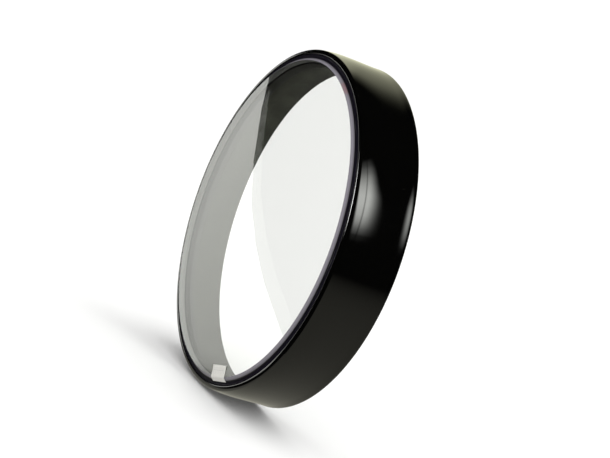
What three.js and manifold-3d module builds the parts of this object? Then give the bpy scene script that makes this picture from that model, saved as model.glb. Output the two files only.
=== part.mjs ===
// A round wedge prism in a slip-on cell, for the objective end of a surveying telescope.
// The cell stands on its rim. +Y is the optical axis, from the glass towards the open skirt
// that slips over the barrel, and +Z is up. Millimetres.

import * as THREE from 'three';
import { mergeVertices } from 'three/addons/utils/BufferGeometryUtils.js';
import Module from 'manifold-3d';

// ---- Driving dimensions -------------------------------------------------------------------

// Cell: a straight-bored sleeve with a crowned front shoulder and a gently flared rear.
const cellDiameter = 100;
const cellDepth = 17.9;
const cellWall = 2.1;
const frontCornerRadius = 0.75;
const crownLength = 6.5;
const crownRadius = 30;
const flareRise = 0.2;
const flareLength = 3;
const rearEdgeRadius = 0.7;
const boreChamfer = 0.2;

// Glass: flat front face, rear face inclined to it, so the base of the wedge is at the bottom.
const glassCentreThickness = 5.5;
const glassProud = 0.9;
const glassBevel = 0.9;
const wedgeAngle = THREE.MathUtils.degToRad(0.25);

// Cement ring between the edge of the glass and the bore.
const cementThickness = 0.5;
const cementRecess = 0.2;

// Seat ring: pressed into the bore behind the glass, its front face cut to the wedge angle. The
// barrel stops against its rear face, whose outer edge is chamfered away from the lining.
const seatLedge = 1.3;
const seatThinnest = 2.5;
const stopClearance = 0.2;

// Lining: one felt strip around the skirt, with its two ends a little apart.
const liningThickness = 0.5;
const liningEndGap = 2.5;
const liningRearInset = 0.5;
const liningJointAngle = THREE.MathUtils.degToRad(105);

// Label: a slip of paper on the face of the glass, folded down over its bevel.
const labelWidth = 8;
const labelHeight = 3.4;
const labelThickness = 0.2;
const labelOverhang = 0.2;
const labelAngle = THREE.MathUtils.degToRad(17);

// Clearance between pieces that touch on the bench.
const fitGap = 0.3;

// ---- Sizes that follow --------------------------------------------------------------------

const cellRadius = cellDiameter / 2;
const boreRadius = cellRadius - cellWall;
const packedRadius = boreRadius - fitGap;
const glassRadius = packedRadius - cementThickness - fitGap;
const seatInnerRadius = glassRadius - seatLedge;
const liningInnerRadius = packedRadius - liningThickness;
const stopOuterRadius = liningInnerRadius - stopClearance;

// Stations along +Y, measured from the plane of the cell's front lip.
const glassFrontY = -glassProud;
const glassRearY = glassFrontY + glassCentreThickness;
const wedgeRise = Math.tan(wedgeAngle) * packedRadius;
const cementRearY = glassRearY - wedgeRise - glassBevel;
const seatRearY = glassRearY + wedgeRise + fitGap + seatThinnest;
const liningFrontY = seatRearY + fitGap;
const liningRearY = cellDepth - liningRearInset;
const labelFrontY = glassFrontY - fitGap - labelThickness;

const segments = 96;
const flatStart = Math.PI / segments;
const curveSteps = 4;

// How far a cutting solid reaches past what it cuts.
const cutterSpare = 5;

// ---- Outlines and solids ------------------------------------------------------------------

// Points (radius, y) on a circular arc. Its angles are measured from the radius towards +Y.
function arc(centre, radius, from, to, steps) {
  const points = [];
  for (let i = 0; i <= steps; i += 1) {
    const angle = from + ((to - from) * i) / steps;
    points.push(new THREE.Vector2(centre.x + radius * Math.cos(angle), centre.y + radius * Math.sin(angle)));
  }
  return points;
}

// A ring or disc about +Y. The outline runs towards +Y on the outside. One flat of the
// many-sided solid lies at the very bottom, so it stands on a flat and not on a corner.
function turned(outline) {
  const closed = [...outline, outline[0].clone()];
  return new THREE.LatheGeometry(closed, segments, flatStart);
}

// The outline of a disc starts and ends on the axis.
function turnedDisc(outline) {
  return new THREE.LatheGeometry(outline, segments, flatStart);
}

function rectangleRing(innerRadius, outerRadius, frontY, rearY) {
  return turned([
    new THREE.Vector2(innerRadius, frontY),
    new THREE.Vector2(outerRadius, frontY),
    new THREE.Vector2(outerRadius, rearY),
    new THREE.Vector2(innerRadius, rearY),
  ]);
}

const wasm = await Module();
wasm.setup();

function toSolid(geometry) {
  const bare = geometry.clone();
  bare.deleteAttribute('normal');
  bare.deleteAttribute('uv');
  const merged = mergeVertices(bare);
  return new wasm.Manifold(new wasm.Mesh({
    numProp: 3,
    vertProperties: new Float32Array(merged.attributes.position.array),
    triVerts: new Uint32Array(merged.index.array),
  }));
}

function toGeometry(solid) {
  const mesh = solid.getMesh();
  const geometry = new THREE.BufferGeometry();
  geometry.setAttribute('position', new THREE.BufferAttribute(mesh.vertProperties, 3));
  geometry.setIndex(new THREE.BufferAttribute(mesh.triVerts, 1));
  geometry.computeVertexNormals();
  return geometry;
}

// Leans a geometry to the wedge angle about a point on the axis: its bottom goes back, its top forward.
function leanedAt(geometry, y) {
  return geometry.translate(0, -y, 0).rotateX(wedgeAngle).translate(0, y, 0);
}

const metalBlack = new THREE.MeshStandardMaterial({ color: 0x060606, roughness: 0.18, metalness: 0.1 });
const mattBlack = new THREE.MeshStandardMaterial({ color: 0x141412, roughness: 0.75, metalness: 0.2 });
const clearGlass = new THREE.MeshStandardMaterial({
  color: 0xe9efec, roughness: 0.02, metalness: 0, transparent: true, opacity: 0.35,
});
const cementBlack = new THREE.MeshStandardMaterial({ color: 0x0c0b10, roughness: 0.45, metalness: 0 });
const feltGrey = new THREE.MeshStandardMaterial({ color: 0x32332d, roughness: 0.95, metalness: 0 });
const labelPaper = new THREE.MeshStandardMaterial({ color: 0xd7d6cf, roughness: 0.8, metalness: 0 });

const group = new THREE.Group();

function place(name, geometry, material) {
  const mesh = new THREE.Mesh(geometry, material);
  mesh.name = name;
  group.add(mesh);
  return mesh;
}

// ---- Cell ring ----------------------------------------------------------------------------

function crownDropAt(y) {
  return crownRadius - Math.sqrt(crownRadius ** 2 - (crownLength - y) ** 2);
}

function cellOutline() {
  // The front corner ends where its slope is the slope of the crown.
  const shoulderAngle = Math.asin((crownLength - frontCornerRadius) / (crownRadius - frontCornerRadius));
  const cornerCentre = new THREE.Vector2(
    cellRadius - crownRadius + (crownRadius - frontCornerRadius) * Math.cos(shoulderAngle),
    frontCornerRadius,
  );
  const corner = arc(cornerCentre, frontCornerRadius, -Math.PI / 2, -shoulderAngle, curveSteps);

  const crown = [];
  const crownStartY = corner[corner.length - 1].y;
  for (let i = 1; i <= curveSteps; i += 1) {
    const y = crownStartY + ((crownLength - crownStartY) * i) / curveSteps;
    crown.push(new THREE.Vector2(cellRadius - crownDropAt(y), y));
  }

  // The flare rises as the cube of its length, and the rear edge starts at its last slope.
  const flareAngle = Math.atan((3 * flareRise) / flareLength);
  const flareEndY = cellDepth - rearEdgeRadius * (1 + Math.sin(flareAngle));
  const flare = [];
  for (let i = 0; i < curveSteps; i += 1) {
    const share = i / curveSteps;
    const y = flareEndY - flareLength * (1 - share);
    flare.push(new THREE.Vector2(cellRadius + flareRise * share ** 3, y));
  }
  const rearCentre = new THREE.Vector2(
    cellRadius + flareRise - rearEdgeRadius * Math.cos(flareAngle),
    cellDepth - rearEdgeRadius,
  );
  const rearEdge = arc(rearCentre, rearEdgeRadius, -flareAngle, Math.PI / 2, curveSteps);

  const bore = [
    new THREE.Vector2(boreRadius + boreChamfer, cellDepth),
    new THREE.Vector2(boreRadius, cellDepth - boreChamfer),
    new THREE.Vector2(boreRadius, boreChamfer),
    new THREE.Vector2(boreRadius + boreChamfer, 0),
  ];
  return [...corner, ...crown, ...flare, ...rearEdge, ...bore];
}

place('cell_ring', turned(cellOutline()), metalBlack);

// ---- Wedge prism --------------------------------------------------------------------------

// The front half has the square face and the front bevel. The rear half has the leaned face and
// the rear bevel. The prism is what the two have in common.
function wedgePrism() {
  const frontHalf = turnedDisc([
    new THREE.Vector2(0, glassFrontY),
    new THREE.Vector2(glassRadius - glassBevel, glassFrontY),
    new THREE.Vector2(glassRadius, glassFrontY + glassBevel),
    new THREE.Vector2(glassRadius, glassRearY + cutterSpare),
    new THREE.Vector2(0, glassRearY + cutterSpare),
  ]);
  const rearHalf = turnedDisc([
    new THREE.Vector2(0, glassFrontY - cutterSpare),
    new THREE.Vector2(glassRadius + cutterSpare, glassFrontY - cutterSpare),
    new THREE.Vector2(glassRadius + cutterSpare, glassRearY - glassBevel - cutterSpare),
    new THREE.Vector2(glassRadius - glassBevel, glassRearY),
    new THREE.Vector2(0, glassRearY),
  ]);
  return toGeometry(toSolid(frontHalf).intersect(toSolid(leanedAt(rearHalf, glassRearY))));
}

place('wedge_prism', wedgePrism(), clearGlass);

// ---- Edge cement --------------------------------------------------------------------------

place(
  'edge_cement',
  rectangleRing(glassRadius + fitGap, packedRadius, cementRecess, cementRearY),
  cementBlack,
);

// ---- Seat ring ----------------------------------------------------------------------------

function seatRing() {
  const chamfer = packedRadius - stopOuterRadius;
  const plain = turned([
    new THREE.Vector2(seatInnerRadius, 0),
    new THREE.Vector2(packedRadius, 0),
    new THREE.Vector2(packedRadius, seatRearY - chamfer),
    new THREE.Vector2(stopOuterRadius, seatRearY),
    new THREE.Vector2(seatInnerRadius, seatRearY),
  ]);
  const clearedY = glassRearY + fitGap;
  const glassSide = turnedDisc([
    new THREE.Vector2(0, glassFrontY - cutterSpare),
    new THREE.Vector2(cellRadius + cutterSpare, glassFrontY - cutterSpare),
    new THREE.Vector2(cellRadius + cutterSpare, clearedY),
    new THREE.Vector2(0, clearedY),
  ]);
  return toGeometry(toSolid(plain).subtract(toSolid(leanedAt(glassSide, clearedY))));
}

place('seat_ring', seatRing(), mattBlack);

// ---- Skirt lining -------------------------------------------------------------------------

function skirtLining() {
  const halfGap = liningEndGap / 2 / packedRadius;
  const from = liningJointAngle + halfGap;
  const to = liningJointAngle - halfGap + 2 * Math.PI;
  const strip = new THREE.Shape();
  strip.absarc(0, 0, packedRadius, from, to, false);
  strip.absarc(0, 0, liningInnerRadius, to, from, true);
  return new THREE.ExtrudeGeometry(strip, {
    depth: liningRearY - liningFrontY,
    curveSegments: segments,
    bevelEnabled: false,
  });
}

const lining = place('skirt_lining', skirtLining(), feltGrey);
lining.rotation.x = -Math.PI / 2;
lining.position.y = liningFrontY;

// ---- Index label --------------------------------------------------------------------------

// Drawn across its fold: x is the radius, y is forward from the lip.
function labelSection() {
  const line = (gap) => ({
    faceY: glassProud + gap,
    foldX: glassRadius - glassBevel + gap * (Math.SQRT2 - 1),
    hemX: glassRadius + labelOverhang,
    hemY: glassProud - glassBevel + gap * Math.SQRT2 - labelOverhang,
  });
  const under = line(fitGap);
  const over = line(fitGap + labelThickness);
  const topX = glassRadius - glassBevel - labelHeight;
  const hemStep = labelThickness * Math.SQRT1_2;
  return new THREE.Shape([
    new THREE.Vector2(topX, under.faceY),
    new THREE.Vector2(under.foldX, under.faceY),
    new THREE.Vector2(under.hemX, under.hemY),
    new THREE.Vector2(under.hemX + hemStep, under.hemY + hemStep),
    new THREE.Vector2(over.foldX, over.faceY),
    new THREE.Vector2(topX, over.faceY),
  ]);
}

const outward = new THREE.Vector3(Math.sin(labelAngle), 0, -Math.cos(labelAngle));
const forward = new THREE.Vector3(0, -1, 0);
const along = new THREE.Vector3().crossVectors(outward, forward);
const labelGeometry = new THREE.ExtrudeGeometry(labelSection(), { depth: labelWidth, bevelEnabled: false });
labelGeometry.translate(0, 0, -labelWidth / 2);
const label = place('index_label', labelGeometry, labelPaper);
label.quaternion.setFromRotationMatrix(new THREE.Matrix4().makeBasis(outward, forward, along));

// ---- Origin: on the optical axis, halfway along the whole depth ----------------------------

group.position.y = -(labelFrontY + cellDepth) / 2;

export default group;
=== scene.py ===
"""A round wedge prism in a glossy black slip-on cell, built around its packed design.

The cell stands on its rim. +Y is the optical axis, from the glass towards the open skirt, and +Z is up.
Everything is in metres. Each piece has an operator, and the sizes and colours are in the sidebar.
"""

import math
import random

import bmesh
import bpy
from bpy.props import FloatProperty, FloatVectorProperty, IntProperty, PointerProperty
from mathutils import Matrix, Vector


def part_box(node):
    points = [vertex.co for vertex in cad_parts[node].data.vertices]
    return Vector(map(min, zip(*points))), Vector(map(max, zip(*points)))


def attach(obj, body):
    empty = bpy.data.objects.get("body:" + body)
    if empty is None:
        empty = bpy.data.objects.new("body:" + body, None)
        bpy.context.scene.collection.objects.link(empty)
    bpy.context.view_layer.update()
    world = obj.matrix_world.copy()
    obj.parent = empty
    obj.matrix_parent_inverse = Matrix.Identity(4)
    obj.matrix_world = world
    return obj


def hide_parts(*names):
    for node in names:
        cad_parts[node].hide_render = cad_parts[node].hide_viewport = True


bl_info = {
    "name": "Survey Prism",
    "version": (1, 0, 0),
    "blender": (4, 5, 0),
    "location": "3D View > Sidebar > Prism",
    "description": "Builds a wedge prism in its slip-on cell, piece by piece, with a plain studio around it",
    "category": "Add Mesh",
}

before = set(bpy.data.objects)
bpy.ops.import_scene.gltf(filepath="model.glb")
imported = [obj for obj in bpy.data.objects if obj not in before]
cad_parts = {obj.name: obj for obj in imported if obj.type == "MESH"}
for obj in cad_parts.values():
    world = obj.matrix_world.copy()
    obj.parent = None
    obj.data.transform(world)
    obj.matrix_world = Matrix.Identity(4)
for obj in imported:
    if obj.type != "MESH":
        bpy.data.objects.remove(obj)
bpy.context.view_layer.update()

MM = 0.001
BODY = "root"


# ---- Places from the design ----


def node_points(node):
    """The corner points of a node of the design."""
    return [v.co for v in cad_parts[node].data.vertices]


def node_radii(node):
    """The smallest and largest distance of a node's corners from the optical axis."""
    radii = [math.hypot(p.x, p.z) for p in node_points(node)]
    return min(radii), max(radii)


def node_span(node):
    """The lowest and highest place of a node along the optical axis."""
    low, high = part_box(node)
    return low.y, high.y


LIP_Y, RIM_Y = node_span("cell_ring")
BORE_RADIUS, RIM_RADIUS = node_radii("cell_ring")
WALL_RADIUS = max(math.hypot(p.x, p.z) for p in node_points("cell_ring") if p.y < 0)
GLASS_FRONT_Y = node_span("wedge_prism")[0]
GLASS_RADIUS = node_radii("wedge_prism")[1]
SEAT_INNER_RADIUS = node_radii("seat_ring")[0]
SEAT_BACK_Y = node_span("seat_ring")[1]
LINING_RADIUS = node_radii("skirt_lining")[0]
LINING_FRONT_Y, LINING_BACK_Y = node_span("skirt_lining")
FLOOR_Z = -RIM_RADIUS

# How strongly the glass bends light.
GLASS_IOR = 1.517


# ---- Sizes and colours ----


def length(label, description, millimetres):
    """A length property with its default given in millimetres."""
    return FloatProperty(
        name=label,
        description=description,
        default=millimetres * MM,
        min=0.0,
        precision=5,
        unit="LENGTH",
    )


def colour(label, description, value):
    """A colour property."""
    return FloatVectorProperty(
        name=label,
        description=description,
        default=value,
        size=3,
        min=0.0,
        max=1.0,
        subtype="COLOR",
    )


def share(label, description, value, top=1.0):
    """A plain number from nothing to its top value."""
    return FloatProperty(name=label, description=description, default=value, min=0.0, max=top)


def turn(label, description, degrees):
    """An angle property with its default given in degrees."""
    return FloatProperty(
        name=label,
        description=description,
        default=math.radians(degrees),
        subtype="ANGLE",
        unit="ROTATION",
    )


class PrismSizes(bpy.types.PropertyGroup):
    """Sizes that the design leaves to the finish of each piece."""

    segments: IntProperty(
        name="Segments",
        description="Steps around each turned piece",
        default=384,
        min=48,
        max=1024,
    )
    corner_radius: length("Front corner", "Radius of the cell's front corner", 0.75)
    crown_length: length("Crown length", "Length that sets how steeply the crown starts", 6.5)
    crown_radius: length("Crown radius", "Radius of the crowned shoulder", 30.0)
    crown_fade: length("Crown fade", "Where the crown has run out into the straight wall", 10.0)
    flare_rise: length("Flare rise", "How far the rear flare stands above the wall", 0.095)
    flare_length: length("Flare length", "Length of the flare before the rear edge", 3.3)
    rear_radius: length("Rear edge", "Radius of the rear edge", 0.7)
    bore_chamfer: length("Bore chamfer", "Chamfer at both ends of the bore", 0.2)
    edge_break: length("Edge break", "Radius that breaks each sharp edge", 0.06)
    glass_bevel: length("Glass bevel", "Width of the ground bevel", 0.9)
    label_width: length("Label width", "Width of the label along the edge of the glass", 8.0)
    label_height: length("Label height", "Height of the label above its fold", 3.4)
    label_thickness: length("Paper", "Thickness of the label", 0.09)
    label_lift: length("Paper lift", "Gap under the label's free corners", 0.12)
    label_angle: turn("Label place", "Angle of the label from the bottom", 17.0)
    lining_gap: length("Lining gap", "Gap between the two ends of the lining", 2.5)
    lining_joint: turn("Lining joint", "Angle of the lining's joint from the bottom", 105.0)
    felt_fuzz: length("Felt fuzz", "Unevenness of the felt", 0.06)


class PrismFinish(bpy.types.PropertyGroup):
    """Colours and finishes."""

    enamel: colour("Enamel", "Glossy black of the cell", (0.0011, 0.0011, 0.001))
    enamel_roughness: share("Enamel roughness", "How blurred the enamel's gloss is", 0.03)
    matt_black: colour("Matt black", "Dull black of the seat ring", (0.02, 0.02, 0.018))
    glass: colour("Glass", "Faint tint of the glass", (0.93, 0.937, 0.925))
    ground: colour("Ground edge", "Ground bevel of the glass", (0.25, 0.235, 0.27))
    wet_edge: colour("Cemented edge", "Edge of the glass where cement wets it", (0.25, 0.253, 0.237))
    cement: colour("Cement", "Dark optical cement", (0.006, 0.005, 0.009))
    felt: colour("Felt", "Grey of the felt lining", (0.047, 0.048, 0.037))
    paper: colour("Paper", "Aged white of the label", (0.81, 0.8, 0.75))
    ink: colour("Ink", "Faded ink on the label", (0.26, 0.26, 0.25))
    red_spot: colour("Index red", "Faded red index mark at the thin side", (0.30, 0.05, 0.035))


class PrismStage(bpy.types.PropertyGroup):
    """The camera, the floor and the lights."""

    camera_azimuth: turn("Camera azimuth", "Direction that the camera looks from", 62.63)
    camera_elevation: turn("Camera elevation", "Height of the camera above level", 6.0)
    camera_roll: turn("Camera roll", "Lean of the camera", 21.72)
    camera_distance: length("Camera distance", "From the aim point to the camera", 420.92)
    camera_lens: FloatProperty(
        name="Lens",
        description="Focal length in millimetres on a 36 mm sensor",
        default=88.52,
        min=1.0,
    )
    sun_azimuth: turn("Key azimuth", "Direction that the soft key light comes from", 87.0)
    sun_elevation: turn("Key elevation", "Height of the soft key light", 64.0)
    sun_spread: turn("Key spread", "Width of the soft key light", 95.0)
    sun_strength: share("Key strength", "Strength of the soft key light", 2.4, 50.0)
    fill: share("Fill", "Even light from all round", 0.53, 10.0)
    floor_lift: share("Floor haze", "How much haze lifts the floor when seen straight", 0.06)
    backdrop: share("Backdrop", "Brightness of the plain backdrop", 1.03, 10.0)


# ---- Outlines ----


def arc(centre, radius, start, end, steps):
    """Points (radius, place along the axis) on a circular arc."""
    points = []
    for i in range(steps + 1):
        angle = start + (end - start) * i / steps
        points.append((centre[0] + radius * math.cos(angle), centre[1] + radius * math.sin(angle)))
    return points


def broken_edges(corners, radius, steps=3):
    """A closed outline with every corner rounded, and a support point on each side of the rounding."""
    points = []
    count = len(corners)
    for i, corner in enumerate(corners):
        here = Vector(corner)
        back = (Vector(corners[i - 1]) - here).normalized()
        ahead = (Vector(corners[(i + 1) % count]) - here).normalized()
        half = back.angle(ahead) / 2
        reach = radius / math.tan(half)
        start = here + back * reach
        end = here + ahead * reach
        points.append(tuple(start + back * reach * 0.7))
        for step in range(steps + 1):
            t = step / steps
            bend = start.lerp(here, t).lerp(here.lerp(end, t), t)
            points.append(tuple(bend))
        points.append(tuple(end + ahead * reach * 0.7))
    return points


# ---- Meshes ----


def new_object(name, mesh):
    """An object in the scene for a mesh."""
    piece = bpy.data.objects.new(name, mesh)
    bpy.context.scene.collection.objects.link(piece)
    return piece


def mesh_from(name, build):
    """A mesh made by a function that fills a bmesh."""
    made = bmesh.new()
    build(made)
    bmesh.ops.recalc_face_normals(made, faces=made.faces)
    mesh = bpy.data.meshes.new(name)
    made.to_mesh(mesh)
    made.free()
    return mesh


def skin(made, rows, around=False, across=False):
    """Smooth faces between neighbouring rows of points. Around closes the rows and across closes each row."""
    faces = []
    for i in range(len(rows) if around else len(rows) - 1):
        here, there = rows[i], rows[(i + 1) % len(rows)]
        for j in range(len(here) if across else len(here) - 1):
            k = (j + 1) % len(here)
            face = made.faces.new((here[j], here[k], there[k], there[j]))
            face.smooth = True
            faces.append(face)
    return faces


def turned(name, outline, segments, place=None):
    """A ring about the optical axis from a closed outline of (radius, along) points.

    place(radius, along, angle, index) may move a point; it returns (radius, along)."""

    def build(made):
        rings = []
        for step in range(segments):
            angle = 2 * math.pi * step / segments
            ring = []
            for index, (radius, along) in enumerate(outline):
                if place:
                    radius, along = place(radius, along, angle, index)
                ring.append(made.verts.new(on_circle(radius, along, angle)))
            rings.append(ring)
        skin(made, rings, around=True, across=True)

    return mesh_from(name, build)


def on_circle(radius, along, angle):
    """A point at an angle from the bottom, turning towards +X."""
    return Vector((radius * math.sin(angle), along, -radius * math.cos(angle)))


def add_piece(mesh, slot, node, *materials):
    """Puts a piece in the scene with its materials, and fixes it to the part in place of its node."""
    for material in materials:
        mesh.materials.append(material)
    piece = new_object(mesh.name, mesh)
    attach(piece, BODY)
    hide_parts(node)


# ---- Shader groups ----


def new_group(name, inputs, outputs):
    """An empty shader group with its sockets; returns it with its input and output nodes."""
    group = bpy.data.node_groups.new(name, "ShaderNodeTree")
    for label, value in inputs:
        kind = "NodeSocketVector" if isinstance(value, tuple) else "NodeSocketFloat"
        socket = group.interface.new_socket(name=label, in_out="INPUT", socket_type=kind)
        socket.default_value = value
    for label, kind in outputs:
        group.interface.new_socket(name=label, in_out="OUTPUT", socket_type=kind)
    entry = group.nodes.new("NodeGroupInput")
    leave = group.nodes.new("NodeGroupOutput")
    return group, entry, leave


def opaque(value):
    """A colour with its alpha."""
    return (*value, 1.0)


def toned(value, strength):
    """A colour made darker or lighter."""
    return tuple(strength * part for part in value)


def set_sockets(node, values):
    """Sets plain numbers and colours on a node's own sockets."""
    for label, value in values.items():
        node.inputs[label].default_value = value


def feed(tree, value, socket):
    """Feeds a socket from another socket, or from a plain number or colour."""
    if isinstance(value, bpy.types.NodeSocket):
        tree.links.new(value, socket)
    else:
        socket.default_value = opaque(value) if isinstance(value, tuple) else value


def math_node(tree, operation, first, second=None, clamp=False):
    """A math node fed by sockets or plain numbers; returns its output."""
    node = tree.nodes.new("ShaderNodeMath")
    node.operation = operation
    node.use_clamp = clamp
    feed(tree, first, node.inputs[0])
    if second is not None:
        feed(tree, second, node.inputs[1])
    return node.outputs[0]


def plus(tree, first, second):
    """The sum of two values."""
    return math_node(tree, "ADD", first, second)


def minus(tree, first, second):
    """The first value less the second."""
    return math_node(tree, "SUBTRACT", first, second)


def times(tree, first, second):
    """The product of two values."""
    return math_node(tree, "MULTIPLY", first, second)


def mixed(tree, factor, first, second):
    """Two shaders mixed by a number or a socket; returns the output."""
    node = tree.nodes.new("ShaderNodeMixShader")
    for socket, value in zip(node.inputs, (factor, first, second)):
        feed(tree, value, socket)
    return node.outputs[0]


def mapped(tree, value, low, high, out_low=0.0, out_high=1.0):
    """A smooth step of a value between two limits."""
    node = tree.nodes.new("ShaderNodeMapRange")
    node.interpolation_type = "SMOOTHSTEP"
    limits = {"From Min": low, "From Max": high, "To Min": out_low, "To Max": out_high}
    for label, number in limits.items():
        feed(tree, number, node.inputs[label])
    tree.links.new(value, node.inputs["Value"])
    return node.outputs[0]


def turned_place_group():
    """Where a point lies on a turned piece: its radius, its place along the axis and its angle."""
    group, _, leave = new_group(
        "Turned place",
        [],
        [
            ("Radius", "NodeSocketFloat"),
            ("Along", "NodeSocketFloat"),
            ("Angle", "NodeSocketFloat"),
            ("Lathe vector", "NodeSocketVector"),
        ],
    )
    coordinates = group.nodes.new("ShaderNodeTexCoord")
    split = group.nodes.new("ShaderNodeSeparateXYZ")
    group.links.new(coordinates.outputs["Object"], split.inputs[0])
    x, y, z = split.outputs
    square = plus(group, times(group, x, x), times(group, z, z))
    radius = math_node(group, "SQRT", square)
    angle = math_node(group, "ARCTAN2", x, times(group, z, -1.0))
    # Around the piece the marks of a lathe change slowly, so the angle counts for little.
    slow_x = math_node(group, "DIVIDE", times(group, x, 0.004), radius)
    slow_z = math_node(group, "DIVIDE", times(group, z, 0.004), radius)
    joined = group.nodes.new("ShaderNodeCombineXYZ")
    group.links.new(plus(group, radius, slow_x), joined.inputs[0])
    group.links.new(y, joined.inputs[1])
    group.links.new(slow_z, joined.inputs[2])
    group.links.new(radius, leave.inputs["Radius"])
    group.links.new(y, leave.inputs["Along"])
    group.links.new(angle, leave.inputs["Angle"])
    group.links.new(joined.outputs[0], leave.inputs["Lathe vector"])
    return group


def turning_marks_group():
    """Fine rings left by the lathe: a height and a mask."""
    group, entry, leave = new_group(
        "Turning marks",
        [("Vector", (0.0, 0.0, 0.0)), ("Scale", 6000.0), ("Roughness", 0.6)],
        [("Height", "NodeSocketFloat"), ("Mask", "NodeSocketFloat")],
    )
    noise = group.nodes.new("ShaderNodeTexNoise")
    noise.inputs["Detail"].default_value = 4.0
    group.links.new(entry.outputs["Vector"], noise.inputs["Vector"])
    group.links.new(entry.outputs["Scale"], noise.inputs["Scale"])
    group.links.new(entry.outputs["Roughness"], noise.inputs["Roughness"])
    group.links.new(noise.outputs["Fac"], leave.inputs["Height"])
    group.links.new(mapped(group, noise.outputs["Fac"], 0.4, 0.65), leave.inputs["Mask"])
    return group


def settled_dust_group():
    """Small specks, thicker on what faces up: a mask."""
    group, entry, leave = new_group(
        "Settled dust",
        [("Scale", 900.0), ("Amount", 0.3)],
        [("Mask", "NodeSocketFloat")],
    )
    coordinates = group.nodes.new("ShaderNodeTexCoord")
    specks = group.nodes.new("ShaderNodeTexVoronoi")
    group.links.new(coordinates.outputs["Object"], specks.inputs["Vector"])
    group.links.new(entry.outputs["Scale"], specks.inputs["Scale"])
    dots = mapped(group, specks.outputs["Distance"], 0.16, 0.06)
    chance = group.nodes.new("ShaderNodeSeparateColor")
    group.links.new(specks.outputs["Color"], chance.inputs[0])
    few = mapped(group, chance.outputs[0], minus(group, 1.0, entry.outputs["Amount"]), 1.0)
    facing = group.nodes.new("ShaderNodeNewGeometry")
    split = group.nodes.new("ShaderNodeSeparateXYZ")
    group.links.new(facing.outputs["Normal"], split.inputs[0])
    upward = mapped(group, split.outputs[2], -0.4, 0.9, 0.35, 1.0)
    mask = times(group, times(group, dots, few), upward)
    group.links.new(mask, leave.inputs["Mask"])
    return group


def rubbed_edge_group():
    """Where handling rubs a finish thin: a mask along the sharp edges, broken up."""
    group, entry, leave = new_group(
        "Rubbed edge",
        [("From", 0.52), ("To", 0.6), ("Scale", 700.0)],
        [("Mask", "NodeSocketFloat")],
    )
    shape = group.nodes.new("ShaderNodeNewGeometry")
    noise = group.nodes.new("ShaderNodeTexNoise")
    coordinates = group.nodes.new("ShaderNodeTexCoord")
    noise.inputs["Detail"].default_value = 5.0
    group.links.new(coordinates.outputs["Object"], noise.inputs["Vector"])
    group.links.new(entry.outputs["Scale"], noise.inputs["Scale"])
    edge = mapped(group, shape.outputs["Pointiness"], entry.outputs["From"], entry.outputs["To"])
    patch = mapped(group, noise.outputs["Fac"], 0.5, 0.68)
    group.links.new(times(group, edge, patch), leave.inputs["Mask"])
    return group


GROUP_MAKERS = {
    "Turned place": turned_place_group,
    "Turning marks": turning_marks_group,
    "Settled dust": settled_dust_group,
    "Rubbed edge": rubbed_edge_group,
}


def use_group(tree, name, **values):
    """Places a shared group in a material, building it the first time."""
    group = bpy.data.node_groups.get(name) or GROUP_MAKERS[name]()
    node = tree.nodes.new("ShaderNodeGroup")
    node.node_tree = group
    set_sockets(node, values)
    return node


# ---- Materials ----


def new_material(name):
    """A material with its Principled shader; returns the material, its tree and the shader."""
    material = bpy.data.materials.new(name)
    material.use_nodes = True
    tree = material.node_tree
    return material, tree, tree.nodes["Principled BSDF"]


def blended(tree, factor, first, second):
    """A colour between two, by a factor socket. Each is a colour or a socket."""
    mix = tree.nodes.new("ShaderNodeMix")
    mix.data_type = "RGBA"
    tree.links.new(factor, mix.inputs["Factor"])
    for label, value in (("A", first), ("B", second)):
        feed(tree, value, next(s for s in mix.inputs if s.name == label and s.type == "RGBA"))
    return next(s for s in mix.outputs if s.type == "RGBA")


def bump(tree, shader, height, distance, strength=1.0):
    """A bump under the shader's normal."""
    node = tree.nodes.new("ShaderNodeBump")
    set_sockets(node, {"Strength": strength, "Distance": distance})
    tree.links.new(height, node.inputs["Height"])
    tree.links.new(node.outputs[0], shader.inputs["Normal"])


def noise_at(tree, vector, scale, detail=3.0, roughness=0.5):
    """A noise value at a vector socket."""
    noise = tree.nodes.new("ShaderNodeTexNoise")
    set_sockets(noise, {"Scale": scale, "Detail": detail, "Roughness": roughness})
    tree.links.new(vector, noise.inputs["Vector"])
    return noise.outputs["Fac"]


def object_vector(tree):
    """The place of a point on the object."""
    return tree.nodes.new("ShaderNodeTexCoord").outputs["Object"]


def enamel_material(finish):
    """Glossy black stoving enamel over a turned sleeve."""
    material, tree, shader = new_material("black_enamel")
    place = use_group(tree, "Turned place")
    marks = use_group(tree, "Turning marks", Scale=2600.0, Roughness=0.7)
    tree.links.new(place.outputs["Lathe vector"], marks.inputs["Vector"])
    dust = use_group(tree, "Settled dust", Scale=1500.0, Amount=0.1)
    rubbed = use_group(tree, "Rubbed edge", From=0.56, To=0.66, Scale=900.0)
    flow = noise_at(tree, object_vector(tree), 260.0, 2.0)
    black = tuple(finish.enamel)
    dusty = blended(tree, times(tree, dust.outputs["Mask"], 0.12), black, (0.25, 0.24, 0.22))
    worn = blended(tree, times(tree, rubbed.outputs["Mask"], 0.08), dusty, (0.05, 0.045, 0.04))
    tree.links.new(worn, shader.inputs["Base Color"])
    haze = noise_at(tree, object_vector(tree), 45.0, 3.0)
    low = finish.enamel_roughness
    rough = mapped(tree, haze, 0.35, 0.7, low, low + 0.015)
    rough = plus(tree, rough, times(tree, marks.outputs["Mask"], 0.01))
    rough = plus(tree, rough, times(tree, rubbed.outputs["Mask"], 0.02))
    tree.links.new(rough, shader.inputs["Roughness"])
    height = plus(tree, flow, times(tree, marks.outputs["Height"], 0.12))
    bump(tree, shader, height, 0.02 * MM, 0.15)
    shader.inputs["IOR"].default_value = 1.47
    return material


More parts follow.
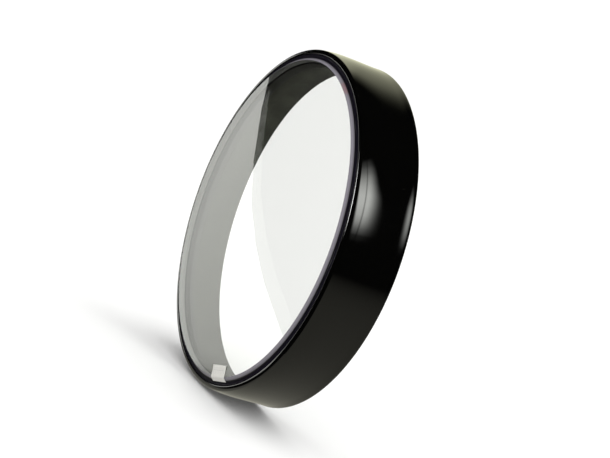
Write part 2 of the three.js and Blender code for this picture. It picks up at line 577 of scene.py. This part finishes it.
def polished_glass_material(name, finish, bloom):
    """Clear polished optical glass with a little dust and haze. Bloom takes that share of the gloss away."""
    material, tree, shader = new_material(name)
    tint = opaque(finish.glass)
    set_sockets(shader, {"Base Color": tint, "Transmission Weight": 1.0, "IOR": GLASS_IOR})
    dust = use_group(tree, "Settled dust", Scale=700.0, Amount=0.05)
    smear = noise_at(tree, object_vector(tree), 24.0, 4.0, 0.6)
    haze = mapped(tree, smear, 0.55, 0.8, 0.0, 0.02)
    rough = plus(tree, haze, times(tree, dust.outputs["Mask"], 0.25))
    tree.links.new(rough, shader.inputs["Roughness"])
    bent = tree.nodes.new("ShaderNodeBsdfRefraction")
    set_sockets(bent, {"Color": tint, "IOR": GLASS_IOR, "Roughness": 0.0})
    bloomed = mixed(tree, bloom, shader.outputs[0], bent.outputs[0])
    # Light that casts the shadow goes through with a faint loss.
    clear = tree.nodes.new("ShaderNodeBsdfTransparent")
    clear.inputs["Color"].default_value = (0.86, 0.88, 0.87, 1.0)
    shadow_ray = tree.nodes.new("ShaderNodeLightPath").outputs["Is Shadow Ray"]
    surface = mixed(tree, shadow_ray, bloomed, clear.outputs[0])
    tree.links.new(surface, tree.nodes["Material Output"].inputs["Surface"])
    return material


def ground_glass_material(finish, sizes):
    """The ground edge of the glass: frosted on the open bevel, with cement along its foot, and painted shade
    on the outer half of the bevel and on the edge seen from inside the glass.
    """
    material, tree, shader = new_material("ground_glass")
    place = use_group(tree, "Turned place")
    grain = noise_at(tree, object_vector(tree), 5200.0, 3.0, 0.7)
    base = tuple(finish.ground)
    along = place.outputs["Along"]
    fold = GLASS_FRONT_Y + 0.5 * sizes.glass_bevel
    # The outer half of the bevel is painted darker than the inner half, as painted shade.
    shade_bands = blended(
        tree,
        mapped(tree, along, fold - 0.1 * MM, fold + 0.1 * MM),
        toned(base, 1.05),
        toned(base, 0.75),
    )
    speckled = blended(tree, mapped(tree, grain, 0.35, 0.65, 0.0, 0.25), shade_bands, toned(base, 0.4))
    # A small faint red spot is coloured onto the bevel near the top.
    around = math_node(tree, "ABSOLUTE", minus(tree, place.outputs["Angle"], math.radians(155.0)))
    mark = times(tree, mapped(tree, around, math.radians(4.2), math.radians(2.0)), 0.28)
    marked = blended(tree, mark, speckled, tuple(finish.red_spot))
    wet = mapped(tree, along, LIP_Y + 0.05 * MM, LIP_Y + 0.2 * MM)
    edged = blended(tree, wet, marked, tuple(finish.wet_edge))
    # Cement has crept over the foot of the bevel. Seen from inside the glass, the bevel and the land up to
    # the lip are painted black as painted shade.
    foot = math_node(tree, "ABSOLUTE", minus(tree, along, LIP_Y - 0.02 * MM))
    foot = mapped(tree, foot, 0.22 * MM, 0.12 * MM)
    inside = tree.nodes.new("ShaderNodeNewGeometry").outputs["Backfacing"]
    inner = times(tree, inside, mapped(tree, along, LIP_Y + 0.3 * MM, LIP_Y))
    dark = math_node(tree, "MAXIMUM", foot, inner)
    tree.links.new(blended(tree, dark, edged, tuple(finish.cement)), shader.inputs["Base Color"])
    tree.links.new(mapped(tree, grain, 0.3, 0.7, 0.42, 0.6), shader.inputs["Roughness"])
    shader.inputs["IOR"].default_value = GLASS_IOR
    bump(tree, shader, grain, 0.02 * MM, 0.5)
    return material


def cement_material(finish):
    """Dark cement, smooth where it drew back and dull elsewhere."""
    material, tree, shader = new_material("dark_cement")
    patch = noise_at(tree, object_vector(tree), 500.0, 3.0)
    base = tuple(finish.cement)
    tree.links.new(blended(tree, patch, base, toned(base, 1.8)), shader.inputs["Base Color"])
    tree.links.new(mapped(tree, patch, 0.3, 0.7, 0.28, 0.5), shader.inputs["Roughness"])
    shader.inputs["Specular IOR Level"].default_value = 0.03
    bump(tree, shader, patch, 0.05 * MM, 0.4)
    return material


def matt_black_material(finish):
    """Matt black over fine turning marks."""
    material, tree, shader = new_material("matt_black")
    place = use_group(tree, "Turned place")
    marks = use_group(tree, "Turning marks", Scale=5200.0, Roughness=0.75)
    tree.links.new(place.outputs["Lathe vector"], marks.inputs["Vector"])
    dust = use_group(tree, "Settled dust", Scale=1300.0, Amount=0.25)
    base = tuple(finish.matt_black)
    streaked = blended(tree, marks.outputs["Mask"], base, toned(base, 1.7))
    tree.links.new(
        blended(tree, times(tree, dust.outputs["Mask"], 0.4), streaked, (0.2, 0.19, 0.17)),
        shader.inputs["Base Color"],
    )
    tree.links.new(mapped(tree, marks.outputs["Height"], 0.3, 0.7, 0.5, 0.68), shader.inputs["Roughness"])
    bump(tree, shader, marks.outputs["Height"], 0.06 * MM, 0.6)
    return material


def felt_material(finish):
    """Thin dark grey felt: matted fibres over a slow change of colour."""
    material, tree, shader = new_material("grey_felt")
    vector = object_vector(tree)
    warp = tree.nodes.new("ShaderNodeTexNoise")
    warp.inputs["Scale"].default_value = 900.0
    tree.links.new(vector, warp.inputs["Vector"])
    bent = tree.nodes.new("ShaderNodeVectorMath")
    bent.operation = "MULTIPLY_ADD"
    tree.links.new(warp.outputs["Color"], bent.inputs[0])
    bent.inputs[1].default_value = (0.002, 0.002, 0.002)
    tree.links.new(vector, bent.inputs[2])
    fibres = noise_at(tree, bent.outputs[0], 4200.0, 6.0, 0.75)
    patch = noise_at(tree, vector, 160.0, 3.0)
    base = tuple(finish.felt)
    tone = blended(tree, mapped(tree, fibres, 0.35, 0.7), toned(base, 0.6), toned(base, 1.6))
    tree.links.new(
        blended(tree, mapped(tree, patch, 0.4, 0.75, 0.0, 0.35), tone, toned(base, 2.0)),
        shader.inputs["Base Color"],
    )
    set_sockets(shader, {"Roughness": 0.95, "Specular IOR Level": 0.12})
    set_sockets(shader, {"Sheen Weight": 0.06, "Sheen Roughness": 0.6})
    bump(tree, shader, fibres, 0.15 * MM, 0.8)
    return material


def paper_material(finish, sizes):
    """Aged paper with two rows of faint index strokes."""
    material, tree, shader = new_material("label_paper")
    # The label's own directions: across it, and outward from the axis.
    vector = object_vector(tree)
    split = tree.nodes.new("ShaderNodeSeparateXYZ")
    tree.links.new(vector, split.inputs[0])
    x, _, z = split.outputs
    sin, cos = math.sin(sizes.label_angle), math.cos(sizes.label_angle)
    across = plus(tree, times(tree, x, cos), times(tree, z, sin))
    outward = minus(tree, times(tree, x, sin), times(tree, z, cos))
    top = GLASS_RADIUS - sizes.glass_bevel - sizes.label_height
    down = minus(tree, outward, top)

    def row(place, thickness):
        distance = math_node(tree, "ABSOLUTE", minus(tree, down, place))
        return mapped(tree, distance, thickness, thickness * 0.5)

    def strokes(pitch, width):
        cell = math_node(tree, "PINGPONG", across, pitch / 2)
        return mapped(tree, cell, width, width * 0.4)

    off_middle = math_node(tree, "ABSOLUTE", across)
    inside = mapped(tree, off_middle, 0.42 * sizes.label_width, 0.39 * sizes.label_width)
    long_line = row(0.42 * sizes.label_height, 0.06 * MM)
    upper = times(tree, row(0.27 * sizes.label_height, 0.42 * MM), strokes(0.8 * MM, 0.1 * MM))
    lower = times(tree, row(0.62 * sizes.label_height, 0.36 * MM), strokes(1.6 * MM, 0.1 * MM))
    marks = math_node(tree, "MAXIMUM", math_node(tree, "MAXIMUM", upper, lower), long_line)
    fade = mapped(tree, noise_at(tree, vector, 1500.0, 3.0), 0.3, 0.65, 0.25, 0.75)
    ink = times(tree, times(tree, marks, inside), fade)
    fibres = noise_at(tree, vector, 3000.0, 4.0, 0.6)
    base = tuple(finish.paper)
    aged = blended(tree, mapped(tree, fibres, 0.3, 0.7), toned(base, 0.9), base)
    tree.links.new(blended(tree, ink, aged, tuple(finish.ink)), shader.inputs["Base Color"])
    shader.inputs["Roughness"].default_value = 0.8
    bump(tree, shader, fibres, 0.03 * MM, 0.5)
    return material


# ---- Pieces ----


def cell_outline(sizes):
    """The outside, rear and bore of the cell, in the order that it is turned."""
    wall, rear = WALL_RADIUS, sizes.rear_radius
    corner, crown, crown_length = sizes.corner_radius, sizes.crown_radius, sizes.crown_length
    shoulder = math.asin((crown_length - corner) / (crown - corner))
    corner_centre = (wall - crown + (crown - corner) * math.cos(shoulder), LIP_Y + corner)
    outline = arc(corner_centre, corner, -math.pi / 2, -shoulder, 10)

    # The crown runs out gently, so it has no visible end on the straight wall.
    begin = corner * (1 - math.sin(shoulder))
    left = sizes.crown_fade - begin
    drop = crown * (1 - math.cos(shoulder))
    power = math.tan(shoulder) * left / drop
    steps = 40
    for i in range(1, steps + 1):
        part = i / steps
        outline.append((wall - drop * (1 - part) ** power, LIP_Y + begin + left * part))

    # The flare swells late and is level again where the rear edge turns in.
    flare_start = RIM_Y - rear - sizes.flare_length
    for i in range(steps):
        part = i / steps
        swell = part**4 * (5 - 4 * part)
        outline.append((wall + sizes.flare_rise * swell, flare_start + sizes.flare_length * part))
    outline += arc((wall + sizes.flare_rise - rear, RIM_Y - rear), rear, 0.0, math.pi / 2, 14)

    mouth = BORE_RADIUS + sizes.bore_chamfer
    soft = sizes.edge_break
    outline += [
        (mouth + 3 * soft, RIM_Y),
        (mouth + soft, RIM_Y),
        (mouth, RIM_Y - 0.4 * soft),
        (BORE_RADIUS + 0.4 * soft, RIM_Y - sizes.bore_chamfer + soft),
        (BORE_RADIUS, RIM_Y - sizes.bore_chamfer - soft),
        (BORE_RADIUS, RIM_Y - sizes.bore_chamfer - 3 * soft),
        (BORE_RADIUS, LIP_Y + sizes.bore_chamfer + 3 * soft),
        (BORE_RADIUS, LIP_Y + sizes.bore_chamfer + soft),
        (BORE_RADIUS + 0.4 * soft, LIP_Y + sizes.bore_chamfer - soft),
        (mouth, LIP_Y + 0.4 * soft),
        (mouth + soft, LIP_Y),
        (mouth + 3 * soft, LIP_Y),
    ]
    return outline


class PRISM_OT_cell_ring(bpy.types.Operator):
    """Turn the glossy black cell"""

    bl_idname = "prism.cell_ring"
    bl_label = "Cell Ring"

    def execute(self, context):
        sizes, finish = context.scene.prism_sizes, context.scene.prism_finish
        mesh = turned("cell_ring_body", cell_outline(sizes), sizes.segments)
        add_piece(mesh, "cell_paint", "cell_ring", enamel_material(finish))
        return {"FINISHED"}


class PRISM_OT_wedge_prism(bpy.types.Operator):
    """Grind and polish the wedge of glass"""

    bl_idname = "prism.wedge_prism"
    bl_label = "Wedge Prism"

    def execute(self, context):
        sizes, finish = context.scene.prism_sizes, context.scene.prism_finish
        materials = (
            polished_glass_material("polished_glass", finish, 0.0),
            ground_glass_material(finish, sizes),
            polished_glass_material("bloomed_glass", finish, 0.75),
        )
        add_piece(self.wedge(sizes), "optical_glass", "wedge_prism", *materials)
        return {"FINISHED"}

    def wedge(self, sizes):
        """The square front face, the leaned rear face and the ground land between them."""
        bevel, soft = sizes.glass_bevel, sizes.edge_break
        flat_radius = GLASS_RADIUS - bevel
        points = node_points("wedge_prism")
        lowest = max(points, key=lambda p: p.y)
        highest_back = max((p for p in points if p.z > 0.9 * flat_radius), key=lambda p: p.y)
        lean = (lowest.y - highest_back.y) / (highest_back.z - lowest.z)
        middle_back = lowest.y + lean * lowest.z
        polished_front = [(flat_radius - soft, GLASS_FRONT_Y)]
        ground = [
            (flat_radius + 0.4 * soft, GLASS_FRONT_Y + 0.4 * soft),
            (flat_radius + soft, GLASS_FRONT_Y + soft),
            (GLASS_RADIUS - soft, GLASS_FRONT_Y + bevel - soft),
            (GLASS_RADIUS - 0.2 * soft, GLASS_FRONT_Y + bevel + 0.4 * soft),
            (GLASS_RADIUS, GLASS_FRONT_Y + bevel + 2 * soft),
        ]
        rear = [
            (GLASS_RADIUS, middle_back - bevel - 2 * soft),
            (GLASS_RADIUS - 0.2 * soft, middle_back - bevel - 0.4 * soft),
            (GLASS_RADIUS - soft, middle_back - bevel + soft),
            (flat_radius + soft, middle_back - soft),
            (flat_radius + 0.4 * soft, middle_back - 0.4 * soft),
        ]
        polished_back = [(flat_radius - soft, middle_back)]
        outline = polished_front + ground + rear + polished_back
        first_leaned = len(polished_front) + len(ground)
        segments = sizes.segments

        def build(made):
            rings = []
            for step in range(segments):
                angle = 2 * math.pi * step / segments
                ring = []
                for index, (radius, along) in enumerate(outline):
                    point = on_circle(radius, along, angle)
                    if index >= first_leaned:
                        point.y -= lean * point.z
                    ring.append(made.verts.new(point))
                rings.append(ring)
            for face in skin(made, rings, around=True):
                face.material_index = 1
            made.faces.new([ring[0] for ring in rings])
            made.faces.new([ring[-1] for ring in rings]).material_index = 2

        return mesh_from("wedge_prism_glass", build)


class PRISM_OT_edge_cement(bpy.types.Operator):
    """Run the dark cement into the gap around the glass"""

    bl_idname = "prism.edge_cement"
    bl_label = "Edge Cement"

    def execute(self, context):
        sizes, finish = context.scene.prism_sizes, context.scene.prism_finish
        close = 0.02 * MM
        inner, outer = GLASS_RADIUS + close, BORE_RADIUS - close
        front, back = node_span("edge_cement")
        steps = 10
        sag = 0.22 * MM
        outline = []
        # Between glass and metal the cement draws back in a shallow hollow.
        for i in range(steps + 1):
            part = i / steps
            hollow = sag * (1 - (2 * part - 1) ** 2)
            outline.append((inner + (outer - inner) * part, front - 0.08 * MM + hollow))
        outline += [(outer, back), (inner, back)]
        chance = random.Random(11)
        phases = [chance.uniform(0, 2 * math.pi) for _ in range(4)]

        def uneven(radius, along, angle, index):
            if index > steps:
                return radius, along
            ripple = sum(math.sin(k * angle + phase) for k, phase in zip((3, 7, 17, 31), phases))
            return radius, along + 0.02 * MM * ripple

        mesh = turned("edge_cement_bead", outline, sizes.segments, uneven)
        add_piece(mesh, "black_cement", "edge_cement", cement_material(finish))
        return {"FINISHED"}


class PRISM_OT_seat_ring(bpy.types.Operator):
    """Turn the matt black ring behind the glass"""

    bl_idname = "prism.seat_ring"
    bl_label = "Seat Ring"

    def execute(self, context):
        sizes, finish = context.scene.prism_sizes, context.scene.prism_finish
        points = node_points("seat_ring")
        near_stop = SEAT_BACK_Y - 1.2 * MM
        lowest = max((p for p in points if p.z < 0 and p.y < near_stop), key=lambda p: p.y)
        highest = min(points, key=lambda p: p.y)
        lean = (lowest.y - highest.y) / (highest.z - lowest.z)
        middle_front = lowest.y + lean * lowest.z
        outer = BORE_RADIUS - 0.02 * MM
        stop = max(math.hypot(p.x, p.z) for p in points if p.y > SEAT_BACK_Y - 0.01 * MM)
        inner = SEAT_INNER_RADIUS
        corners = [
            (inner, middle_front),
            (outer, middle_front),
            (outer, SEAT_BACK_Y - (outer - stop)),
            (stop, SEAT_BACK_Y),
            (inner, SEAT_BACK_Y),
        ]
        outline = broken_edges(corners, sizes.edge_break)
        middle = (middle_front + SEAT_BACK_Y) / 2

        def leaned(radius, along, angle, index):
            if along > middle:
                return radius, along
            return radius, along + lean * radius * math.cos(angle)

        mesh = turned("seat_ring_body", outline, sizes.segments, leaned)
        add_piece(mesh, "matt_black", "seat_ring", matt_black_material(finish))
        return {"FINISHED"}


class PRISM_OT_skirt_lining(bpy.types.Operator):
    """Lay the felt strip inside the skirt"""

    bl_idname = "prism.skirt_lining"
    bl_label = "Skirt Lining"

    def execute(self, context):
        sizes, finish = context.scene.prism_sizes, context.scene.prism_finish
        add_piece(self.strip(sizes), "felt", "skirt_lining", felt_material(finish))
        return {"FINISHED"}

    def strip(self, sizes):
        """One strip, cut square at both ends, with soft uneven edges."""
        outer = BORE_RADIUS - 0.03 * MM
        inner = LINING_RADIUS
        across, around = 14, 720
        half_gap = sizes.lining_gap / 2 / inner
        start = sizes.lining_joint + half_gap
        sweep = 2 * math.pi - 2 * half_gap
        chance = random.Random(5)

        def section(offset_front, offset_back):
            front, back = LINING_FRONT_Y + offset_front, LINING_BACK_Y + offset_back
            roll = 0.18 * MM
            points = [(outer, front), (inner + roll, front + 0.02 * MM)]
            for i in range(across + 1):
                points.append((inner, front + roll + (back - front - 2 * roll) * i / across))
            points += [(inner + roll, back - 0.02 * MM), (outer, back)]
            return points

        def build(made):
            rows = []
            for step in range(around + 1):
                angle = start + sweep * step / around
                row = []
                ragged = (chance.uniform(-1, 1) * 0.05 * MM, chance.uniform(-1, 1) * 0.05 * MM)
                for index, (radius, along) in enumerate(section(*ragged)):
                    if 1 <= index <= across + 3:
                        radius += chance.uniform(-0.5, 0.5) * sizes.felt_fuzz
                    row.append(made.verts.new(on_circle(radius, along, angle)))
                rows.append(row)
            skin(made, rows, across=True)
            made.faces.new(rows[0])
            made.faces.new(rows[-1])

        return mesh_from("skirt_lining_felt", build)


class PRISM_OT_index_label(bpy.types.Operator):
    """Stick the small label on the edge of the glass"""

    bl_idname = "prism.index_label"
    bl_label = "Index Label"

    def execute(self, context):
        sizes, finish = context.scene.prism_sizes, context.scene.prism_finish
        add_piece(self.slip(sizes), "label_paper", "index_label", paper_material(finish, sizes))
        return {"FINISHED"}

    def slip(self, sizes):
        """A slip of paper that follows the face, the fold and the bevel of the glass."""
        angle = sizes.label_angle
        outward = Vector((math.sin(angle), 0.0, -math.cos(angle)))
        tangent = Vector((math.cos(angle), 0.0, math.sin(angle)))
        fold = GLASS_RADIUS - sizes.glass_bevel
        top = fold - sizes.label_height
        hem = GLASS_RADIUS + 0.1 * MM
        close = 0.02 * MM
        columns = 16
        face_rows, bevel_rows = 12, 6
        distances = [top + (fold - top) * i / face_rows for i in range(face_rows + 1)]
        distances += [fold + (hem - fold) * i / bevel_rows for i in range(1, bevel_rows + 1)]
        chance = random.Random(3)

        def layer(made, gap):
            grid = []
            for distance in distances:
                line = []
                for column in range(columns + 1):
                    side = 2 * column / columns - 1
                    along = GLASS_FRONT_Y - gap
                    if distance > fold:
                        along += distance - fold
                    # The free top corners have come away a little.
                    free = max(0.0, (fold - distance) / sizes.label_height) ** 2
                    along -= sizes.label_lift * free * (0.25 + 0.75 * abs(side) ** 3)
                    point = outward * distance + tangent * side * sizes.label_width / 2
                    line.append(made.verts.new((point.x, along, point.z)))
                grid.append(line)
            return grid

        def build(made):
            under = layer(made, close)
            over = layer(made, close + sizes.label_thickness)
            skin(made, under)
            skin(made, over)
            rows = len(distances)
            rim = [(i, 0) for i in range(rows)]
            rim += [(rows - 1, j) for j in range(1, columns + 1)]
            rim += [(i, columns) for i in range(rows - 2, -1, -1)]
            rim += [(0, j) for j in range(columns - 1, 0, -1)]
            for k, (i, j) in enumerate(rim):
                m, n = rim[(k + 1) % len(rim)]
                made.faces.new((under[i][j], under[m][n], over[m][n], over[i][j]))

        return mesh_from("index_label_slip", build)


# ---- Stage ----


# Metres from the object to the cards that stand far off.
SKY_DISTANCE = 3.0
# The cards near the floor lie just above it.
CARD_Z = FLOOR_Z + 0.05 * MM


def direction(azimuth, elevation):
    """The unit vector that points from the object towards an azimuth and elevation."""
    flat = math.cos(elevation)
    return Vector((math.sin(azimuth) * flat, -math.cos(azimuth) * flat, math.sin(elevation)))


def reflected(tree):
    """1 for light that a gloss or the glass has mirrored, 0 for light seen straight or through."""
    path = tree.nodes.new("ShaderNodeLightPath")
    return math_node(tree, "MINIMUM", path.outputs["Glossy Depth"], 1.0)


def glow_material(name, tint):
    """A light card's face, as bright at each point as its glow attribute says."""
    material = bpy.data.materials.new(name)
    material.use_nodes = True
    tree = material.node_tree
    tree.nodes.clear()
    output = tree.nodes.new("ShaderNodeOutputMaterial")
    emission = tree.nodes.new("ShaderNodeEmission")
    emission.inputs["Color"].default_value = opaque(tint)
    glow = tree.nodes.new("ShaderNodeAttribute")
    glow.attribute_name = "glow"
    tree.links.new(glow.outputs["Fac"], emission.inputs["Strength"])
    clear = tree.nodes.new("ShaderNodeBsdfTransparent")
    surface = mixed(tree, reflected(tree), clear.outputs[0], emission.outputs[0])
    tree.links.new(surface, output.inputs["Surface"])
    return material


def reflection_only(name, rows, glows, tint):
    """A card seen only in reflections, from rows of points and the brightness of each point in turn."""
    card = new_object(name, mesh_from(name, lambda made: skin(made, [add_row(made, row) for row in rows])))
    glow = card.data.attributes.new("glow", "FLOAT", "POINT")
    for item, value in zip(glow.data, glows):
        item.value = value
    card.data.materials.append(glow_material(name, tint))
    for ray in ("visible_camera", "visible_diffuse", "visible_shadow"):
        setattr(card, ray, False)


def add_row(made, points):
    """The corners of a mesh for a row of points."""
    return [made.verts.new(point) for point in points]


def sky_card(name, ends_at, elevations, glow_at, tint=(1.0, 1.0, 1.0), across=48, up=48):
    """A card on a far sphere, with its places in degrees.

    ends_at(elevation) gives a row's two ends, and glow_at(azimuth, elevation) its brightness."""
    rows, glows = [], []
    for i in range(up + 1):
        elevation = elevations[0] + (elevations[1] - elevations[0]) * i / up
        start, end = ends_at(elevation)
        row = []
        for j in range(across + 1):
            azimuth = start + (end - start) * j / across
            row.append(direction(math.radians(azimuth), math.radians(elevation)) * SKY_DISTANCE)
            glows.append(glow_at(azimuth, elevation))
        rows.append(row)
    reflection_only(name, rows, glows, tint)


def fade(value, start, end):
    """A smooth step from 0 at start to 1 at end."""
    part = min(1.0, max(0.0, (value - start) / (end - start)))
    return part * part * (3 - 2 * part)


def along_table(value, table):
    """A value between the steps of a table of (place, value), held at its ends."""
    if value <= table[0][0]:
        return table[0][1]
    for (low, first), (high, second) in zip(table, table[1:]):
        if value <= high:
            return first + (second - first) * (value - low) / (high - low)
    return table[-1][1]


class PRISM_OT_stage(bpy.types.Operator):
    """Set up the camera, the pale floor and the soft light"""

    bl_idname = "prism.stage"
    bl_label = "Stage"

    def execute(self, context):
        stage = context.scene.prism_stage
        self.camera(context, stage)
        self.floor(stage)
        self.world(context, stage)
        self.key_light(stage)
        self.window()
        self.low_lamp()
        self.side_panel()
        self.back_panel()
        self.floor_sheen()
        self.floor_strip()
        context.scene.view_settings.view_transform = "Standard"
        return {"FINISHED"}

    def camera(self, context, stage):
        back = direction(stage.camera_azimuth, stage.camera_elevation)
        # A little off the middle of the cell, so that its outline is centred.
        aim = Vector((2.31, 4.73, 1.11)) * MM
        data = bpy.data.cameras.new("camera")
        data.lens = stage.camera_lens
        data.sensor_width = 36.0
        data.clip_start = 0.01
        data.clip_end = 50.0
        camera = new_object("camera", data)
        level = back.to_track_quat("Z", "Y").to_matrix().to_4x4()
        roll = Matrix.Rotation(stage.camera_roll, 4, "Z")
        camera.matrix_world = Matrix.Translation(aim + back * stage.camera_distance) @ level @ roll
        context.scene.camera = camera

    def floor(self, stage):
        def build(made):
            half = 20.0
            corners = [(-half, -half), (half, -half), (half, half), (-half, half)]
            made.faces.new([made.verts.new((x, y, FLOOR_Z)) for x, y in corners])

        floor = new_object("floor", mesh_from("floor", build))
        material, tree, shader = new_material("pale_floor")
        paint = opaque((0.9, 0.9, 0.89))
        set_sockets(shader, {"Base Color": paint, "Roughness": 1.0, "Specular IOR Level": 0.0})
        # A little haze, seen straight only, keeps the darkest part of the shadow from going black.
        straight = tree.nodes.new("ShaderNodeLightPath").outputs["Is Camera Ray"]
        lift = tree.nodes.new("ShaderNodeEmission")
        tree.links.new(times(tree, straight, stage.floor_lift), lift.inputs["Strength"])
        lifted = tree.nodes.new("ShaderNodeAddShader")
        tree.links.new(shader.outputs[0], lifted.inputs[0])
        tree.links.new(lift.outputs[0], lifted.inputs[1])
        unseen = tree.nodes.new("ShaderNodeBsdfTransparent")
        surface = mixed(tree, reflected(tree), lifted.outputs[0], unseen.outputs[0])
        tree.links.new(surface, tree.nodes["Material Output"].inputs["Surface"])
        floor.data.materials.append(material)

    def world(self, context, stage):
        world = bpy.data.worlds.new("plain_light")
        context.scene.world = world
        world.use_nodes = True
        tree = world.node_tree
        background = tree.nodes["Background"]
        path = tree.nodes.new("ShaderNodeLightPath")
        seen = math_node(tree, "MAXIMUM", path.outputs["Is Camera Ray"], path.outputs["Is Transmission Ray"])
        seen = math_node(tree, "SUBTRACT", seen, reflected(tree), clamp=True)
        lit = times(tree, path.outputs["Is Diffuse Ray"], stage.fill)
        level = plus(tree, times(tree, seen, stage.backdrop), lit)
        tree.links.new(level, background.inputs["Strength"])
        background.inputs["Color"].default_value = (1.0, 1.0, 1.0, 1.0)

    def key_light(self, stage):
        data = bpy.data.lights.new("key", "SUN")
        data.energy = stage.sun_strength
        data.angle = stage.sun_spread
        key = new_object("key", data)
        towards = direction(stage.sun_azimuth, stage.sun_elevation)
        key.rotation_euler = towards.to_track_quat("Z", "Y").to_euler()
        key.visible_glossy = False

    def window(self):
        """The bright window that the wall of the cell mirrors, with a thin bar leaning across it."""
        left_edge = 97.5
        right_edge = [(10.0, 120.0), (16.0, 121.0), (22.0, 122.0), (26.0, 123.0), (30.0, 124.3)]
        right_edge += [(36.0, 126.2), (44.0, 127.6), (52.0, 130.0)]
        height = [(10.0, 0.0), (14.0, 0.3), (18.0, 2.6), (22.0, 6.4), (26.0, 9.4), (32.0, 11.4)]
        height += [(37.0, 11.4), (42.0, 9.0), (46.0, 6.2), (50.0, 3.0), (54.0, 0.9), (58.0, 0.0)]

        def ends(elevation):
            return left_edge, along_table(elevation, right_edge)

        def glow(azimuth, elevation):
            last = along_table(elevation, right_edge)
            sides = fade(azimuth, 98.0, 102.0) * fade(azimuth, last, last - 12.0)
            bar_azimuth = 107.5 + 0.21 * (elevation - 18.0)
            bar = 1.0 - 0.5 * fade(abs(azimuth - bar_azimuth), 1.4, 0.3)
            return along_table(elevation, height) * sides * bar

        sky_card("window", ends, (10.0, 58.0), glow, (0.98, 1.0, 0.95), across=136, up=72)

    def low_lamp(self):
        """A small strong lamp low down, which the flare mirrors."""
        left, right, foot, head = -53.0, -32.0, -3.4, 2.8

        def glow(azimuth, elevation):
            sides = fade(azimuth, left, left + 4.2) * fade(azimuth, right, right - 4.2)
            return 34.0 * sides * fade(elevation, foot, foot + 1.86) * fade(elevation, head, head - 1.86)

        sky_card("low_lamp", lambda elevation: (left, right), (foot, head), glow)

    def side_panel(self):
        """A grey panel with a curved edge, which the front face of the glass mirrors."""
        left, foot, head = -73.0, -13.6, 4.4
        edge = [(-14.0, -58.6), (-12.0, -60.2), (-9.7, -62.2), (-8.8, -63.0), (-7.5, -63.9), (-5.8, -64.8)]
        edge += [(-4.0, -65.4), (-1.8, -65.9), (2.0, -66.4), (20.0, -67.0)]

        def glow(azimuth, elevation):
            level = along_table(elevation, ((-12.0, 1.95), (-2.0, 2.7)))
            return level * fade(elevation, head, head - 1.4) * fade(elevation, foot, foot + 0.7)

        def ends(elevation):
            return left, along_table(elevation, edge)

        sky_card("side_panel", ends, (foot, head), glow, (0.99, 1.0, 0.95), across=8, up=100)

    def back_panel(self):
        """A wide dim panel behind, which the top of the wall mirrors."""
        left, right, foot, head = -155.0, -105.0, -12.0, 62.0
        across_levels = ((left, 0.0), (-145.0, 0.25), (-120.0, 0.7), (-114.0, 1.2), (-108.0, 0.0))
        up_levels = ((-6.0, 0.35), (2.0, 1.0))

        def glow(azimuth, elevation):
            level = along_table(azimuth, across_levels) * along_table(elevation, up_levels)
            return level * fade(elevation, 58.0, 38.0)

        sky_card("back_panel", lambda elevation: (left, right), (foot, head), glow, (1.0, 1.0, 0.72))

    def floor_sheen(self):
        """A half disc just above the floor, which the lower wall mirrors. It fades outward."""
        centre_x, reach = 0.05, 0.3
        rings, around = 24, 48
        rows, glows = [], []
        for i in range(rings + 1):
            distance = reach * i / rings + 0.01 * MM
            row = []
            for j in range(around + 1):
                angle = math.pi * j / around
                x = centre_x + distance * math.cos(angle)
                row.append(Vector((x, LIP_Y + distance * math.sin(angle), CARD_Z)))
                glows.append(0.42 * fade(i / rings, 1.0, 0.1))
            rows.append(row)
        reflection_only("floor_sheen", rows, glows, (1.0, 0.98, 0.82))

    def floor_strip(self):
        """A narrow strip just in front of the cell, which the lowest part of the lip mirrors."""
        left, right, depth = -30.0 * MM, 50.0 * MM, 9.0 * MM
        rows, glows = [], []
        for i in range(13):
            part = i / 12
            row = []
            for j in range(25):
                row.append(Vector((left + (right - left) * j / 24, LIP_Y - depth * part, CARD_Z)))
                glows.append(0.5 * fade(part, 1.0, 0.4))
            rows.append(row)
        reflection_only("floor_strip", rows, glows, (1.0, 0.98, 0.85))


# ---- Add-on ----


class PRISM_PT_panel(bpy.types.Panel):
    """The prism's sizes, colours and pieces"""

    bl_idname = "PRISM_PT_panel"
    bl_label = "Survey Prism"
    bl_space_type = "VIEW_3D"
    bl_region_type = "UI"
    bl_category = "Prism"

    def draw(self, context):
        layout = self.layout
        for piece in PIECES:
            layout.operator(piece.bl_idname)
        for settings in (context.scene.prism_sizes, context.scene.prism_finish, context.scene.prism_stage):
            box = layout.box()
            for name in settings.bl_rna.properties.keys():
                if name not in ("rna_type", "name"):
                    box.prop(settings, name)


PIECES = (
    PRISM_OT_cell_ring,
    PRISM_OT_wedge_prism,
    PRISM_OT_edge_cement,
    PRISM_OT_seat_ring,
    PRISM_OT_skirt_lining,
    PRISM_OT_index_label,
    PRISM_OT_stage,
)
SETTINGS = {
    "prism_sizes": PrismSizes,
    "prism_finish": PrismFinish,
    "prism_stage": PrismStage,
}


def register():
    for made in (*SETTINGS.values(), *PIECES, PRISM_PT_panel):
        bpy.utils.register_class(made)
    for name, group in SETTINGS.items():
        setattr(bpy.types.Scene, name, PointerProperty(type=group))


def unregister():
    for name in SETTINGS:
        delattr(bpy.types.Scene, name)
    for made in reversed((*SETTINGS.values(), *PIECES, PRISM_PT_panel)):
        bpy.utils.unregister_class(made)


def main():
    """Builds the prism and its stage."""
    register()
    bpy.ops.prism.cell_ring()
    bpy.ops.prism.wedge_prism()
    bpy.ops.prism.edge_cement()
    bpy.ops.prism.seat_ring()
    bpy.ops.prism.skirt_lining()
    bpy.ops.prism.index_label()
    bpy.ops.prism.stage()


if __name__ == "__main__":
    main()
